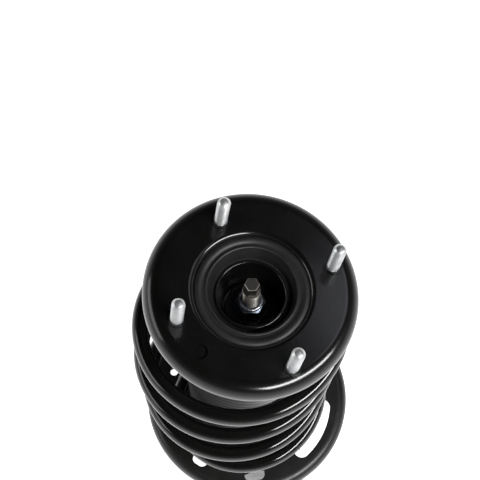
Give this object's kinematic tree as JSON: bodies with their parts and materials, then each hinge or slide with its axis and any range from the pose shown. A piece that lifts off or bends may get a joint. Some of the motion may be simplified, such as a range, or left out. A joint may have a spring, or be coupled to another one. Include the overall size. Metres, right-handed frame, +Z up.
{
  "type": "suspension strut",
  "caption": "Complete front suspension strut: studded round top mount with rubber bush, swivel bearing, coil spring on two seats, dust boot and twin-tube damper with a clevis knuckle bracket.",
  "frame": {"origin": "centre of the circle of mounting studs, on the mount plate's upper face", "axes": "+Z up along the piston rod, +X outboard towards the knuckle bracket"},
  "size_m": [0.1982, 0.1934, 0.6237],
  "materials": {
    "gloss_black_paint": "gloss",
    "spring_coating": "gloss",
    "satin_black_paint": "satin",
    "zinc_plate": "satin",
    "dark_plated_nut": "satin",
    "plain_steel": "satin",
    "chrome_rod": "polished",
    "bush_rubber": "matte",
    "pad_rubber": "matte",
    "boot_rubber": "satin",
    "stop_foam": "matte",
    "bearing_steel": "polished",
    "cage_plastic": "matte",
    "lock_ring_plastic": "matte",
    "sintered_iron": "matte",
    "band_plastic": "matte",
    "label_film": "satin"
  },
  "bodies": {
    "top_mount": {"mount_plate": "gloss_black_paint", "mount_studs": "zinc_plate", "mount_shell": "satin_black_paint", "rubber_bush": "bush_rubber", "inner_cup": "gloss_black_paint", "rod_washer": "gloss_black_paint", "rod_nut": "dark_plated_nut", "nut_lock_ring": "lock_ring_plastic", "rod_spacer": "plain_steel", "piston_rod": "chrome_rod", "bump_stop_cup": "satin_black_paint", "bump_stop": "stop_foam", "rebound_stop": "lock_ring_plastic", "piston": "sintered_iron", "piston_band": "band_plastic", "valve_discs": "plain_steel", "piston_nut": "plain_steel", "bearing_upper_race": "bearing_steel"},
    "spring_and_seat": {"bearing_lower_race": "bearing_steel", "bearing_balls": "bearing_steel", "bearing_cage": "cage_plastic", "upper_spring_seat": "satin_black_paint", "upper_pad": "pad_rubber", "coil_spring": "spring_coating", "dust_boot": "boot_rubber"},
    "damper_tube": {"strut_tube": "satin_black_paint", "tube_cap": "zinc_plate", "rod_seal": "pad_rubber", "rod_guide": "sintered_iron", "guide_bush": "bearing_steel", "pressure_tube": "plain_steel", "base_valve": "sintered_iron", "end_cap": "satin_black_paint", "lower_spring_seat": "satin_black_paint", "lower_pad": "pad_rubber", "boot_clip": "zinc_plate", "knuckle_bracket": "satin_black_paint", "bracket_channel": "satin_black_paint", "link_tab": "satin_black_paint", "hose_bracket": "satin_black_paint", "tube_label": "label_film"}
  },
  "joints": [
    {"name": "steer_swivel", "type": "hinge", "parent": "top_mount", "child": "spring_and_seat", "pos_m": [-0.0033, 0.0014, -0.05], "axis": [0, 0, 1], "range_deg": [-42, 42]},
    {"name": "strut_slide", "type": "slide", "parent": "spring_and_seat", "child": "damper_tube", "axis": [0, 0, 1], "range_m": [0, 0.134], "stiffness_N_per_m": 28000, "springref_m": -0.045, "deforming": ["coil_spring", "dust_boot"]}
  ]
}
